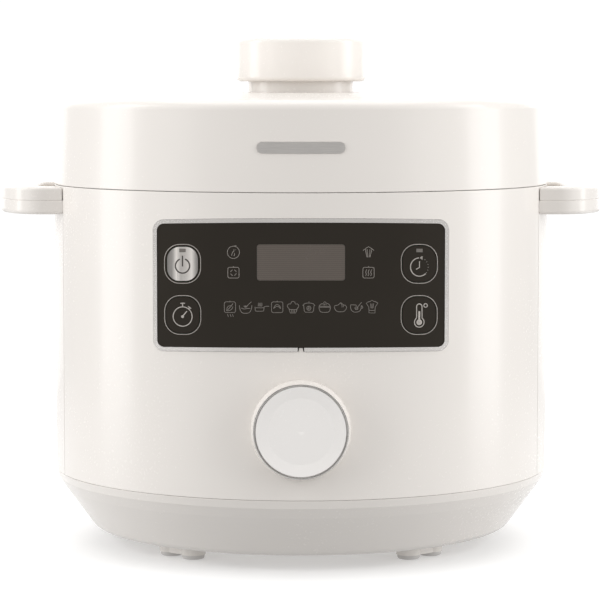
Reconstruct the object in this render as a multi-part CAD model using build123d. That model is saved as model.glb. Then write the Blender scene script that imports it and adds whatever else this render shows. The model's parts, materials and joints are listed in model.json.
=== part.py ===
"""Electric pressure cooker: round 5-litre body, twist-lock lid, side handles, key panel and dial.

Millimetres. +Z is up, the control panel faces -Y, and the origin is on the standing surface, in the
centre of the cooker's outline. Each function below makes one sub-part, and main() writes one STEP file
for each node. The lid is modelled closed but not yet turned, with its lugs in the gaps of the locking ring.
"""

import os
from math import cos, degrees, radians, sin, sqrt

from build123d import *

# ---- driving dimensions -------------------------------------------------------------------------
BODY_R = 140.0  # outer radius of the housing and of the lid's lower edge
WALL = 2.5  # thickness of the plastic shells
INNER_R = BODY_R - WALL
OVERALL_WIDTH = 342.0  # over both handles
HALF_DEPTH = 150.0  # dial face in front, condensate cup behind

FLOOR_BOTTOM = 8.5  # underside of the base shell
FLOOR_TOP = FLOOR_BOTTOM + 3.0
BASE_TOP = 41.8
HOUSING_BOTTOM = 41.95
HOUSING_TOP = 203.1
LID_BOTTOM = 203.4
LID_EDGE = 251.0  # height of the lid's upper corner
LID_TOP = 255.0  # height of the lid at its middle
KNOB_BOTTOM = 261.0
KNOB_TOP = 286.0
LID_TAPER = 2.1  # the lid's side leans in by this much over its height
SEAM_ANGLE = 70.4  # front and rear housing meet this far round from the front

# ---- pot, liner and bayonet ---------------------------------------------------------------------
LINER_R = 113.0  # inside of the outer liner
LINER_BOTTOM = 37.0
LINER_TOP = 185.0
SHIELD_R = 118.0
PLATE_R = 85.0  # heating plate
PLATE_BOTTOM = 38.0
PLATE_TOP = 47.9
SENSOR_HOLE_R = 14.5
POT_BOTTOM = 48.2
POT_RIM_R = 110.0
POT_RIM_TOP = 187.5
LUG_COUNT = 6
LUG_SPAN = 26.0  # degrees covered by one lug
BODY_LUG_R = 116.0  # inside radius of the locking ring's lugs
LOCK_R = 124.2  # inside radius of the locking ring
LOCK_TOP = 196.4
LUG_THICK = 3.0
LID_LUG_R = 122.5
LID_SKIRT_R = 115.0

# ---- control panel and keys ---------------------------------------------------------------------
PANEL_Z = 155.2
PANEL_W, PANEL_H, PANEL_CORNER = 152.0, 65.0, 3.8
BEZEL_WIDTH = 2.2
BEZEL_RIM = 0.45
PANEL_DROOP = 4.4  # the panel is cut square to a line of sight this many degrees above level
KEY_X = 62.2
KEY_UP, KEY_DOWN = 11.3, -15.6  # heights of the key rows from the panel's middle
KEY_W, KEY_H, KEY_CORNER = 18.0, 19.0, 7.4
POWER_W, POWER_H, POWER_CORNER = 16.5, 17.8, 6.6
KEY_GAP = 0.3
KEY_TRAVEL = 0.8
LCD_W, LCD_H, LCD_RISE = 46.2, 19.0, 11.9
SWITCH_FACE_Y = -116.3

# ---- dial ---------------------------------------------------------------------------------------
DIAL_Z = 79.5
DIAL_BASE_R, DIAL_EDGE_R, DIAL_CAP_R, DISH_R = 26.4, 25.1, 23.8, 17.5
DIAL_BACK_Y = -141.2
SHAFT_R = 3.0
RUNNING = 0.05  # radial clearance of a turning or sliding pin

# ---- handles ------------------------------------------------------------------------------------
HANDLE_X = OVERALL_WIDTH / 2
HANDLE_HALF = 47.0
HANDLE_END_R = 70.0  # the bowed outer end, seen from above
HANDLE_CORNER = 20.0
HANDLE_PART = 195.2  # parting line of the two halves
HANDLE_BOTTOM = 187.4
HANDLE_TOP = 202.6
PART_EDGE = 0.4  # softened edges that draw the parting line
GRIP_X = 150.0  # inner face of the bar
GRIP_HALF = 31.0
HANDLE_SCREWS = [(158, -26), (158, 26)]
SIDE_SCREW_Y, SIDE_SCREW_Z = 39.0, 191.2

# ---- rear fittings ------------------------------------------------------------------------------
INLET_Z = 62.0
INLET_W, INLET_H = 31.0, 25.0
INLET_FACE_Y = 139.2
CUP_W, CUP_BOTTOM, CUP_TOP, CUP_FRONT_Y = 44.0, 114.0, 166.0, 127.0

# ---- lid fittings -------------------------------------------------------------------------------
VALVE_AT = (0.0, 78.0)
FLOAT_AT = (24.0, 62.0)
PIPE_R = 4.0
FLOAT_R = 2.5
SCREW_R = 1.6
SCREW_CLEAR = 0.1

LOW = (Align.CENTER, Align.CENTER, Align.MIN)
ON_AXIS = (Align.NONE, Align.NONE, Align.MIN)  # for a sector, whose axis isn't in the middle of its box


# ---- helpers ------------------------------------------------------------------------------------
def disc(radius, low, high, at=(0, 0)):
    """An upright cylinder between two heights."""
    return Pos(at[0], at[1], low) * Cylinder(radius, high - low, align=LOW)


def tube(outer, inner, low, high, at=(0, 0)):
    """An upright tube between two heights."""
    return disc(outer, low, high, at) - disc(inner, low - 1, high + 1, at)


def block(x0, x1, y0, y1, z0, z1):
    """A box from its limits."""
    return Pos((x0 + x1) / 2, (y0 + y1) / 2, z0) * Box(x1 - x0, y1 - y0, z1 - z0, align=LOW)


def turned(points, corner=0.0, arc=360.0, start=0.0):
    """A closed outline of (radius, height) points turned round Z. corner is one radius or a list."""
    radii = corner if isinstance(corner, list) else [corner] * len(points)
    outline = FilletPolyline(*points, radius=radii, close=True)
    return Rot(0, 0, start) * revolve(Plane.XZ * make_face(outline), Axis.Z, arc)


def ring_sector(outer, inner, low, high, middle, span):
    """A piece of a ring, span degrees wide, centred on the direction middle."""
    sector = Pos(0, 0, low) * Cylinder(outer, high - low, arc_size=span, align=ON_AXIS)
    return Rot(0, 0, middle - span / 2) * sector - disc(inner, low - 1, high + 1)


def around(count, radius, start=0.0):
    """Evenly spaced points on a circle."""
    angles = [start + 360.0 * i / count for i in range(count)]
    return [(radius * cos(radians(a)), radius * sin(radians(a))) for a in angles]


def screw(at, head_low, head_high, tip, radius=SCREW_R):
    """An upright pan-head screw with its head below its shank."""
    return disc(radius * 1.9, head_low, head_high, at) + disc(radius, head_high, tip, at)


def panel_plane(x=0.0, rise=0.0):
    """The plane on which the panel is drawn, moved sideways and up along it."""
    lean = radians(PANEL_DROOP)
    normal = (0, -cos(lean), sin(lean))
    plane = Plane(origin=(0, -BODY_R, PANEL_Z), x_dir=(1, 0, 0), z_dir=normal)
    return plane.offset(0) * Pos(x, rise, 0)


def panel_prism(width, height, corner, x=0.0, rise=0.0, depth=60.0):
    """A rounded rectangle of the panel, cut straight through the housing's front."""
    outline = RectangleRounded(width, height, corner)
    return panel_plane(x, rise) * Pos(0, 0, -depth) * extrude(outline, depth + 12)


def front_shell(outer, inner):
    """The front part of an upright tube, tall enough for the panel."""
    return ring_sector(outer, inner, 100, 200, -90, 2 * SEAM_ANGLE)


def along_y(radius, back_y, front_y, x=0.0, z=DIAL_Z):
    """A cylinder lying along Y, from back_y forward to front_y."""
    lying = Rot(90, 0, 0) * Cylinder(radius, back_y - front_y, align=LOW)
    return Pos(x, back_y, z) * lying


def dial_turned(points, corner=0.0):
    """An outline of (radius, distance in front of the dial's back) turned round the dial's axis."""
    return Pos(0, DIAL_BACK_Y, DIAL_Z) * Rot(90, 0, 0) * turned(points, corner)


# ---- base ---------------------------------------------------------------------------------------
FOOT_R = 96.0
FOOT_MIDDLES = (-47, 47, 133, 227)
PAD_ANGLES = (42, 52)  # from the sideways axis
LOBE_ANGLE = 30
SCREW_CIRCLE = [(98 * cos(radians(a)), 98 * sin(radians(a))) for a in (0, 70, 110, 180, 250, 290)]


def at_feet(angle):
    """The same place on each of the four feet."""
    x, y = FOOT_R * cos(radians(angle)), FOOT_R * sin(radians(angle))
    return [(side * x, end * y) for side in (-1, 1) for end in (-1, 1)]


def pad_places():
    return [at for angle in PAD_ANGLES for at in at_feet(angle)]


def base_shell():
    outer = [(0, 8.5), (117.9, 8.5), (134.8, 31.6), (138.6, 37.4), (BODY_R, BASE_TOP)]
    inner = [(137.2, BASE_TOP), (137.2, 46), (135, 46), (135, 37.6), (132, 33), (116, FLOOR_TOP), (0, FLOOR_TOP)]
    radii = [0, 7, 4, 0.8, 0.25, 0, 0.5, 0.5, 1, 1, 3, 0]
    shell = turned(outer + inner, radii)
    for middle in FOOT_MIDDLES:
        shell += ring_sector(FOOT_R + 5.5, FOOT_R - 5.5, 2.4, FLOOR_BOTTOM + 0.5, middle, 10)
    for at in pad_places():
        shell += disc(6.8, 2.4, FLOOR_BOTTOM + 0.5, at)
    for at in at_feet(LOBE_ANGLE):
        shell += disc(5, 4.6, FLOOR_BOTTOM + 0.5, at)
    for at in SCREW_CIRCLE:
        shell -= disc(SCREW_R + SCREW_CLEAR, 0, 20, at)
    slot = extrude(SlotOverall(20, 3), 10)
    for i in range(18):
        shell -= Rot(0, 0, 20 * i) * Pos(58, 0, 5) * slot
    return shell


def foot_pads():
    pad = fillet(Cylinder(6.2, 2.4, align=LOW).edges().group_by(Axis.Z)[0], 1.2)
    return Compound([Pos(x, y, 0) * pad for x, y in pad_places()])


def base_screws():
    return Compound([screw(at, 6.0, FLOOR_BOTTOM, 30) for at in SCREW_CIRCLE])


def liner_posts():
    posts = [tube(5, SCREW_R + SCREW_CLEAR, FLOOR_TOP, LINER_BOTTOM, at) for at in SCREW_CIRCLE]
    return Compound(posts)


# ---- housing ------------------------------------------------------------------------------------
def housing_sector(middle, span):
    """One of the two curved walls, with softened edges top and bottom."""
    points = [(INNER_R, HOUSING_BOTTOM), (BODY_R, HOUSING_BOTTOM), (BODY_R, HOUSING_TOP), (INNER_R, HOUSING_TOP)]
    return turned(points, [0, 0.25, 0.35, 0], span, middle - span / 2)


def front_housing():
    seam_gap = 0.1
    wall = housing_sector(-90, 2 * (SEAM_ANGLE - seam_gap))
    opening = panel_prism(PANEL_W + 2 * BEZEL_WIDTH + 0.2, PANEL_H + 2 * BEZEL_WIDTH + 0.2, 5.8)
    pointer = panel_pointer()
    return wall - (opening - pointer) - along_y(23.2, -100, -160)


def panel_pointer():
    """The little trapezium of housing that breaks the bezel above the dial."""
    half_low, half_high = 1.5, 0.9
    bottom = -PANEL_H / 2 - BEZEL_WIDTH - 0.5
    top = -PANEL_H / 2 - 0.15
    outline = Polyline((-half_low, bottom), (half_low, bottom), (half_high, top), (-half_high, top), close=True)
    return panel_plane() * Pos(0, 0, -60) * extrude(make_face(outline), 72)


def rear_housing():
    seam_gap = 0.1
    wall = housing_sector(90, 360 - 2 * (SEAM_ANGLE + seam_gap))
    wall -= block(-INLET_W / 2, INLET_W / 2, 120, 150, INLET_Z - INLET_H / 2, INLET_Z + INLET_H / 2)
    wall -= block(-CUP_W / 2 - 2.2, CUP_W / 2 + 2.2, 120, 150, CUP_BOTTOM - 2.2, CUP_TOP + 2.2)
    for side in (-1, 1):
        for y in (-SIDE_SCREW_Y, SIDE_SCREW_Y):
            wall -= Pos(side * 120, y, SIDE_SCREW_Z) * Rot(0, 90 * side, 0) * Cylinder(1.7, 30, align=LOW)
    vent = extrude(SlotOverall(14, 2.4), 40)
    for side in (-1, 1):
        for row in range(5):
            turn = Rot(0, 0, 90 + side * 32) * Pos(120, 0, 60 + 6 * row)
            wall -= turn * Rot(0, 90, 0) * Rot(0, 0, 90) * vent
    return wall


def top_ring():
    """The rim that closes the housing, with a lip standing behind the lid's seam."""
    points = [(124.6, 197), (132, 197), (132, 198.6), (137.2, 198.6), (137.2, 204.1), (135.4, 204.1),
              (135.4, 202.2), (127, 202.2), (124.6, 200)]
    return turned(points, [0, 0, 0, 0, 0.3, 0.3, 0.5, 1, 1])


def locking_ring():
    points = [(LOCK_R, LINER_TOP), (133, LINER_TOP), (133, LINER_TOP + 2), (LOCK_R + 3, LINER_TOP + 2),
              (LOCK_R + 3, LOCK_TOP), (LOCK_R, LOCK_TOP)]
    ring = turned(points)
    for i in range(LUG_COUNT):
        lug = ring_sector(LOCK_R + 0.5, BODY_LUG_R, LOCK_TOP - LUG_THICK, LOCK_TOP, 60 * i, LUG_SPAN)
        ring += lug
    return ring


def outer_liner():
    outer = LINER_R + 1
    points = [(70, LINER_BOTTOM), (outer, LINER_BOTTOM), (outer, LINER_TOP - 1), (133, LINER_TOP - 1),
              (133, LINER_TOP), (LINER_R, LINER_TOP), (LINER_R, PLATE_BOTTOM), (70, PLATE_BOTTOM)]
    return turned(points, [0, 2.5, 0.5, 0, 0, 1.5, 1.5, 0])


def heat_shield():
    return tube(SHIELD_R + 0.6, SHIELD_R, 46.5, 182)


# ---- heater -------------------------------------------------------------------------------------
def heating_plate():
    low, high = PLATE_BOTTOM, PLATE_TOP
    points = [(SENSOR_HOLE_R, low), (PLATE_R, low), (PLATE_R, high - 3), (70, high), (SENSOR_HOLE_R, high)]
    return turned(points, [0, 1, 2, 20, 0.5])


def heating_element():
    coil_r, rod_r = 58.0, 3.4
    coil = Pos(0, 0, PLATE_BOTTOM - rod_r) * Torus(coil_r, rod_r)
    for y in (-7, 7):
        at = (sqrt(coil_r**2 - y**2), y)
        coil += disc(2.2, 24, PLATE_BOTTOM - rod_r, at)
    return coil


def sensor_housing():
    points = [(3, 29), (14, 29), (14, 45), (12.8, 45), (12.8, 30.4), (3, 30.4)]
    return turned(points)


def sensor_spring():
    wire_r, coil_r, height = 0.6, 7.0, 9.4
    coil = Helix(pitch=2.35, height=height, radius=coil_r)
    wire = sweep(Plane(coil @ 0, z_dir=coil % 0) * Circle(wire_r), coil)
    return Pos(0, 0, 30.4 + wire_r + 0.2) * wire


def sensor_cap():
    points = [(0, PLATE_TOP - 6), (9, PLATE_TOP - 6), (9, 41.2), (11.8, 41.2), (11.8, PLATE_TOP), (0, PLATE_TOP)]
    return turned(points, [0, 0, 0, 0.5, 1.5, 0])


def thermal_fuse():
    body = Pos(-36, 20, 34.2) * Rot(0, 90, 0) * Cylinder(3.4, 12)
    clip = block(-37, -35, 12, 28, PLATE_BOTTOM - 0.6, PLATE_BOTTOM)
    return body + clip


# ---- control panel ------------------------------------------------------------------------------
def key_places():
    """Name, sideways place, rise, width, height and corner of each key."""
    plain = (KEY_W, KEY_H, KEY_CORNER)
    return [("power_key", -KEY_X, KEY_UP, POWER_W, POWER_H, POWER_CORNER),
            ("delay_key", KEY_X, KEY_UP, *plain),
            ("timer_key", -KEY_X, KEY_DOWN, *plain),
            ("temperature_key", KEY_X, KEY_DOWN, *plain)]


def panel_bezel():
    """The trim round the window: a proud band inside a lower rim."""
    band_w, band_h = PANEL_W + 2 * BEZEL_WIDTH - 2 * BEZEL_RIM, PANEL_H + 2 * BEZEL_WIDTH - 2 * BEZEL_RIM
    shell = front_shell(BODY_R + 0.9, BODY_R - 2.2) & panel_prism(band_w, band_h, 5.7 - BEZEL_RIM)
    shell += front_shell(BODY_R + 0.45, BODY_R - 2.2)
    outer = panel_prism(PANEL_W + 2 * BEZEL_WIDTH, PANEL_H + 2 * BEZEL_WIDTH, 5.7)
    inner = panel_prism(PANEL_W + 0.1, PANEL_H + 0.1, PANEL_CORNER)
    gap = panel_plane() * Pos(0, -PANEL_H / 2 - 2, -60) * extrude(Rectangle(3.4, 5.2), 72)
    return shell & (outer - inner - gap)


def panel_window():
    window = front_shell(BODY_R + 0.5, BODY_R - 2.2) & panel_prism(PANEL_W, PANEL_H, PANEL_CORNER)
    for _, x, rise, width, height, corner in key_places():
        window -= panel_prism(width + 2 * KEY_GAP, height + 2 * KEY_GAP, corner + KEY_GAP, x, rise)
    return window - panel_prism(LCD_W, LCD_H, 1.6, 0, LCD_RISE)


def panel_carrier():
    """The frame behind the window and bezel that clamps them in the housing."""
    frame = front_shell(BODY_R - 2.6, BODY_R - 5)
    frame &= panel_prism(PANEL_W + 14, PANEL_H + 14, 8) - panel_prism(PANEL_W - 8, PANEL_H - 6, 4)
    return frame


def key(x, rise, width, height, corner):
    """A key cap with the stem that reaches its switch."""
    cap = front_shell(BODY_R + 0.7, BODY_R - 2.6) & panel_prism(width, height, corner, x, rise)
    stem = panel_plane(x, rise) * Pos(0, 0, -40) * Box(5, 5, 60)
    stem &= front_shell(BODY_R - 1, 60) & block(-90, 90, -140, SWITCH_FACE_Y - KEY_TRAVEL - 0.3, 100, 200)
    return cap + stem


def lcd_module():
    glass = front_shell(BODY_R + 0.3, 60) & panel_prism(LCD_W - 0.2, LCD_H - 0.2, 1.5, 0, LCD_RISE)
    return glass & block(-90, 90, -150, -122.8, 100, 200)


def control_boards():
    main_board = block(-54, 54, -122.8, -121.2, 127, 183)
    key_boards = [block(s * 62 - 10, s * 62 + 10, -112, -110.4, 126, 181) for s in (-1, 1)]
    dial_board = block(-16, 16, -121.4, -119.9, 63, 95)
    return Compound([main_board, *key_boards, dial_board])


def key_switches():
    switches = []
    for _, x, rise, *_ in key_places():
        z = PANEL_Z + rise - 1.5
        body = block(x - 3, x + 3, SWITCH_FACE_Y + 0.8, -112, z - 3, z + 3)
        switches.append(body + along_y(1.6, SWITCH_FACE_Y + 0.9, SWITCH_FACE_Y, x, z))
    return Compound(switches)


# ---- dial ---------------------------------------------------------------------------------------
def encoder():
    body = block(-6.5, 6.5, -127.5, -121.4, DIAL_Z - 6.5, DIAL_Z + 6.5)
    bush = along_y(4.6, -127.5, -134)
    return body + bush - along_y(SHAFT_R + RUNNING, -122.5, -140)


def dial_surround():
    """The fixed collar that fills the step between the round housing and the flat back of the dial."""
    collar = along_y(DIAL_BASE_R, -132, DIAL_BACK_Y + 0.35) - disc(BODY_R, 20, 140)
    hub = along_y(23.0, -135.4, DIAL_BACK_Y + 0.35)
    return collar + hub - along_y(6, -100, -160)


def dial_shaft():
    return along_y(SHAFT_R, -122.8, -145)


def dial_body():
    """The turning skirt, hollow behind, with a hub on the shaft."""
    depth = HALF_DEPTH + DIAL_BACK_Y  # from the dial's back to its face
    points = [(22.6, 0), (DIAL_BASE_R, 0), (DIAL_EDGE_R, depth - 0.6), (DIAL_CAP_R + 0.15, depth - 0.6),
              (DIAL_CAP_R + 0.15, depth - 2.6), (SHAFT_R, depth - 2.6), (SHAFT_R, 0), (7, 0), (7, depth - 4.6),
              (22.6, depth - 4.6)]
    return dial_turned(points, [0, 0.4, 0.3, 0, 0, 0, 0, 0, 0, 0])


def dial_ring():
    depth = HALF_DEPTH + DIAL_BACK_Y
    points = [(DIAL_CAP_R + 0.2, depth - 0.6), (DIAL_EDGE_R - 0.2, depth - 0.6), (DIAL_EDGE_R - 0.2, depth),
              (DIAL_CAP_R + 0.2, depth)]
    return dial_turned(points, [0, 0, 0.4, 0.4])


def dial_cap():
    depth = HALF_DEPTH + DIAL_BACK_Y
    points = [(0, depth - 2.6), (DIAL_CAP_R, depth - 2.6), (DIAL_CAP_R, depth - 0.3), (DISH_R, depth - 1.7),
              (0, depth - 1.5)]
    return dial_turned(points, [0, 0, 0.4, 0.6, 0])


# ---- electrics ----------------------------------------------------------------------------------
def power_board():
    board = block(-46, 46, -84, -44, 16, 17.6)
    board += block(-40, -26, -80, -60, 17.6, 28)
    board += block(24, 38, -80, -66, 17.6, 29)
    for x, y in ((-42, -78), (42, -78), (-42, -50), (42, -50)):
        board += disc(3, FLOOR_TOP, 16, (x, y))
    return board


def transformer():
    core = block(-18, 14, -79, -55, 17.6, 30)
    winding = block(-15, 11, -82, -52, 19.6, 28)
    return core + winding


def wire_run(points, radius, wire_r):
    """A wire of straight runs and round bends."""
    path = FilletPolyline(*points, radius=radius)
    return sweep(Plane(path @ 0, z_dir=path % 0) * Circle(wire_r), path)


def wiring_harness():
    to_heater = [(20, -50, 17.6), (20, -50, 27), (46, -20, 27), (46, -7, 20), (57.6, -7, 20), (57.6, -7, 24)]
    to_inlet = [(-30, -50, 17.6), (-30, -50, 24), (-24, 30, 24), (-8, 112, 24), (-8, 126, 36), (-8, 126, 49.5)]
    to_panel = [(43, -82, 17.6), (43, -82, 24), (38, -118, 40), (38, -124, 60), (38, -124, 120), (38, -122, 126)]
    wires = [wire_run(to_heater, 3, 1.3), wire_run(to_inlet, 5, 1.6), wire_run(to_panel, 2.5, 1.3)]
    return Compound(wires)


def inlet_socket():
    low, high = INLET_Z - INLET_H / 2 + 0.1, INLET_Z + INLET_H / 2 - 0.1
    half = INLET_W / 2 - 0.1
    socket = block(-half, half, 122, INLET_FACE_Y, low, high)
    cavity = Pos(0, 124, INLET_Z) * Rot(-90, 0, 0) * extrude(RectangleRounded(24.4, 17.2, 3.2), 30)
    return socket - cavity


def inlet_pins():
    pins = [block(x - 1, x + 1, 124, 134, INLET_Z + z - 2, INLET_Z + z + 2) for x, z in ((-7, -2), (7, -2), (0, 2))]
    return Compound(pins)


# ---- handles ------------------------------------------------------------------------------------
def handle_plan(low, high, clearance):
    """The loop of one handle on the right-hand side, between two heights."""
    outline = Pos((HANDLE_X + 115) / 2, 0) * Rectangle(HANDLE_X - 115, 2 * HANDLE_HALF)
    outline &= Pos(HANDLE_X - HANDLE_END_R, 0) * Circle(HANDLE_END_R)
    outline = fillet(outline.vertices().group_by(Axis.X)[-1], HANDLE_CORNER)
    loop = Pos(0, 0, low) * extrude(outline, high - low)
    grip = Pos((GRIP_X + 120) / 2, 0) * RectangleRounded(GRIP_X - 120, 2 * GRIP_HALF, 9)
    loop -= Pos(0, 0, low - 5) * extrude(grip, high - low + 10)
    return loop - disc(BODY_R + clearance, low - 5, high + 5)


def handle_upper():
    """The upper half: a flat top with rounded edges, resting on the lower half."""
    loop = handle_plan(HANDLE_PART, HANDLE_TOP, 0.5)
    loop = fillet(loop.faces().sort_by(Axis.Z)[-1].outer_wire().edges(), 1.8)
    loop = fillet(loop.faces().sort_by(Axis.Z)[0].outer_wire().edges(), PART_EDGE)
    for at in HANDLE_SCREWS:
        loop -= disc(SCREW_R + SCREW_CLEAR, 190, 201.5, at)
    return loop


def handle_lower():
    """The lower half, screwed to the housing from inside and to the upper half from below."""
    loop = handle_plan(HANDLE_BOTTOM, HANDLE_PART, 0.0)
    loop = fillet(loop.faces().sort_by(Axis.Z)[0].outer_wire().edges(), 2.2)
    loop = fillet(loop.faces().sort_by(Axis.Z)[-1].outer_wire().edges(), PART_EDGE)
    for at in HANDLE_SCREWS:
        loop -= disc(SCREW_R + SCREW_CLEAR, 180, 200, at) + disc(3.4, 180, HANDLE_BOTTOM + 3, at)
    for y in (-SIDE_SCREW_Y, SIDE_SCREW_Y):
        loop -= Pos(125, y, SIDE_SCREW_Z) * Rot(0, 90, 0) * Cylinder(SCREW_R + SCREW_CLEAR, 22, align=LOW)
    return loop


def handle_screws():
    screws = []
    for side in (-1, 1):
        for x, y in HANDLE_SCREWS:
            screws.append(screw((side * x, y), HANDLE_BOTTOM + 1, HANDLE_BOTTOM + 3, 201))
        for y in (-SIDE_SCREW_Y, SIDE_SCREW_Y):
            lying = screw((0, 0), 0, 2, 17.5)
            screws.append(Pos(side * 128.3, y, SIDE_SCREW_Z) * Rot(0, 90 * side, 0) * lying)
    return Compound(screws)


# ---- condensate collector -----------------------------------------------------------------------
def collector_bracket():
    half, low, high = CUP_W / 2 + 2, CUP_BOTTOM - 2, CUP_TOP + 2
    tray = block(-half, half, CUP_FRONT_Y - 2, 137, low, high)
    return tray - block(-half + 1.4, half - 1.4, CUP_FRONT_Y - 0.4, 150, low + 1.4, high - 1.4)


def condensate_cup():
    half = CUP_W / 2
    cup = block(-half, half, CUP_FRONT_Y, HALF_DEPTH, CUP_BOTTOM, CUP_TOP)
    cup = fillet(cup.edges().filter_by(Axis.Z).group_by(Axis.Y)[-1], 4)
    cup = fillet(cup.faces().sort_by(Axis.Y)[-1].edges().filter_by(Axis.X), 1.5)
    return cup - block(-half + 1.6, half - 1.6, CUP_FRONT_Y + 1.6, HALF_DEPTH - 2, CUP_BOTTOM + 1.6, CUP_TOP + 5)


# ---- pot and seal -------------------------------------------------------------------------------
def cooking_pot():
    """A round-bellied steel pot with a flat rim."""
    wall = 1.6
    low, neck = POT_BOTTOM, 104.4
    outline = [
        Line((0, low), (62, low)),
        ThreePointArc((62, low), (98.5, 72), (109.2, 115)),
        ThreePointArc((109.2, 115), (108, 150), (neck, 180)),
        Polyline((neck, 180), (neck, POT_RIM_TOP - wall), (POT_RIM_R, POT_RIM_TOP - wall),
                 (POT_RIM_R, POT_RIM_TOP), (neck - wall, POT_RIM_TOP), (neck - wall, 180)),
        ThreePointArc((neck - wall, 180), (108 - wall, 150), (109.2 - wall, 115)),
        ThreePointArc((109.2 - wall, 115), (97.2, 73.1), (61.4, low + wall)),
        Polyline((61.4, low + wall), (0, low + wall), (0, low)),
    ]
    return revolve(Plane.XZ * make_face(Wire([e for line in outline for e in line.edges()])), Axis.Z)


def sealing_ring():
    points = [(99.6, 190.6), (102.4, 187.9), (110, 187.9), (112.7, 190), (112.7, 195.7), (108.5, 195.7),
              (108.5, 191.6), (103, 191.6), (103, 193.6), (99.6, 193.6)]
    return turned(points, [0.8, 0.8, 1, 1, 1, 1, 1, 0.8, 0.8, 0.8])


# ---- lid ----------------------------------------------------------------------------------------
BOSS_PLACES = around(4, 60, 45)
KNOB_SCREWS = around(3, 15, 90)


def lid_cover():
    top_in = LID_TOP - WALL
    corner_r = BODY_R - LID_TAPER
    outer = [(0, LID_TOP), (68, LID_TOP), (corner_r, LID_EDGE), (BODY_R, LID_BOTTOM)]
    inner = [(INNER_R, LID_BOTTOM), (corner_r - WALL, LID_EDGE - WALL - 0.1), (68, top_in), (0, top_in)]
    cover = turned(outer + inner, [0, 2200, 5.2, 0.35, 0.3, 3, 2100, 0])
    for at in BOSS_PLACES:
        cover += disc(4.5, 207.1, top_in + 1, at)
        cover -= disc(SCREW_R + SCREW_CLEAR, 200, 222, at)
    cover -= disc(30, LID_TOP - 0.4, LID_TOP + 5)
    for at in KNOB_SCREWS:
        cover -= disc(2.1, 240, 260, at)
    cover -= disc(7, 240, 260, VALVE_AT)
    cover -= disc(4.2, 240, 260, FLOAT_AT)
    return cover - badge_prism(0.05)


def badge_prism(clearance=0.0):
    """The space of the plain badge on the lid's front, and of the shallow recess it sits in."""
    outline = SlotOverall(46 + 2 * clearance, 6 + 2 * clearance)
    prism = Pos(0, -100, 226.6) * Rot(90, 0, 0) * extrude(outline, 60)
    return prism - disc(138.4, 200, 260)


def lid_badge():
    return badge_prism() & disc(139.6, 200, 260)


def lid_base():
    """The closing plate under the cover, screwed to its bosses."""
    points = [(0, 203.6), (96, 203.6), (98, 204.6), (136.6, 204.6), (136.6, 207.1), (0, 207.1)]
    base = turned(points, [0, 0, 0, 0.5, 0.5, 0])
    for at in BOSS_PLACES:
        base -= disc(SCREW_R + SCREW_CLEAR, 190, 220, at)
    return base - disc(8, 190, 220, VALVE_AT) - disc(4.4, 190, 220, FLOAT_AT)


def lid_plate():
    """The steel pressure lid with its gasket channel and bayonet lugs."""
    skirt = LID_SKIRT_R
    points = [(0, 203.6), (96, 203.6), (102, 198), (skirt, 198), (skirt, 186.2), (skirt - 2, 186.2),
              (skirt - 2, 196), (101, 196), (95, 201.6), (0, 201.6)]
    plate = turned(points, [0, 3, 1, 2, 0.5, 0.5, 0.5, 3, 1, 0])
    for i in range(LUG_COUNT):
        plate += ring_sector(LID_LUG_R, skirt - 1, 189.6, 192.4, 60 * i + 30, LUG_SPAN)
    for at in BOSS_PLACES:
        plate -= disc(SCREW_R + SCREW_CLEAR, 190, 220, at)
    plate -= disc(PIPE_R + 0.05, 190, 220, VALVE_AT)
    return plate - disc(PIPE_R + 0.05, 190, 220, FLOAT_AT)


def inner_lid():
    """The removable aluminium spatter plate under the steel lid."""
    plate = turned([(4.05, 190), (94, 190), (96, 191), (96, 192.6), (94.8, 192.6), (94.8, 191.2), (4.05, 191.2)],
                   [0, 1, 1, 0.3, 0.3, 0.5, 0])
    for at in around(24, 84):
        plate -= disc(2, 180, 200, at)
    for at in around(12, 70, 15):
        plate -= disc(2, 180, 200, at)
    return plate


def inner_lid_grommet():
    return turned([(0, 188), (9, 188), (9, 190), (4, 190), (4, 191.2), (7, 191.2), (5, 201.6), (0, 201.6)],
                  [0, 0.8, 0.2, 0, 0, 0.5, 0, 0])


def knob_neck():
    low = LID_TOP - 0.4
    neck = turned([(0, low), (29.75, low), (29.75, KNOB_BOTTOM), (33.3, KNOB_BOTTOM), (33.3, KNOB_BOTTOM + 3),
                   (0, KNOB_BOTTOM + 3)], [0, 0, 0.3, 0, 0, 0])
    for at in KNOB_SCREWS:
        neck -= disc(2.1, 250, 262, at)
    return neck


def knob_cap():
    outer_r = 36.8
    points = [(33.4, KNOB_BOTTOM), (outer_r, KNOB_BOTTOM), (outer_r, KNOB_TOP - 0.8),
              (18, KNOB_TOP), (0, KNOB_TOP), (0, KNOB_TOP - 3), (33.4, KNOB_TOP - 3.6)]
    return turned(points, [0, 2.6, 2.8, 400, 0, 0, 1.5])


def lid_screws():
    screws = [screw(at, 199.4, 201.6, 220) for at in BOSS_PLACES]
    screws += [screw(at, 249.8, 252.4, 261, 2.0) for at in KNOB_SCREWS]
    return Compound(screws)


def steam_pipe():
    pipe = disc(PIPE_R, 199.6, 264, VALVE_AT) + disc(7, 199.6, 201.6, VALVE_AT)
    nut = Pos(*VALVE_AT, 203.6) * extrude(RegularPolygon(7, 6), 4)
    return pipe + nut - disc(1.6, 190, 270, VALVE_AT)


def float_bush():
    bush = disc(PIPE_R, 200.8, 213, FLOAT_AT) + disc(5.5, 200.8, 201.6, FLOAT_AT)
    return bush - disc(FLOAT_R + RUNNING, 190, 220, FLOAT_AT)


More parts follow.
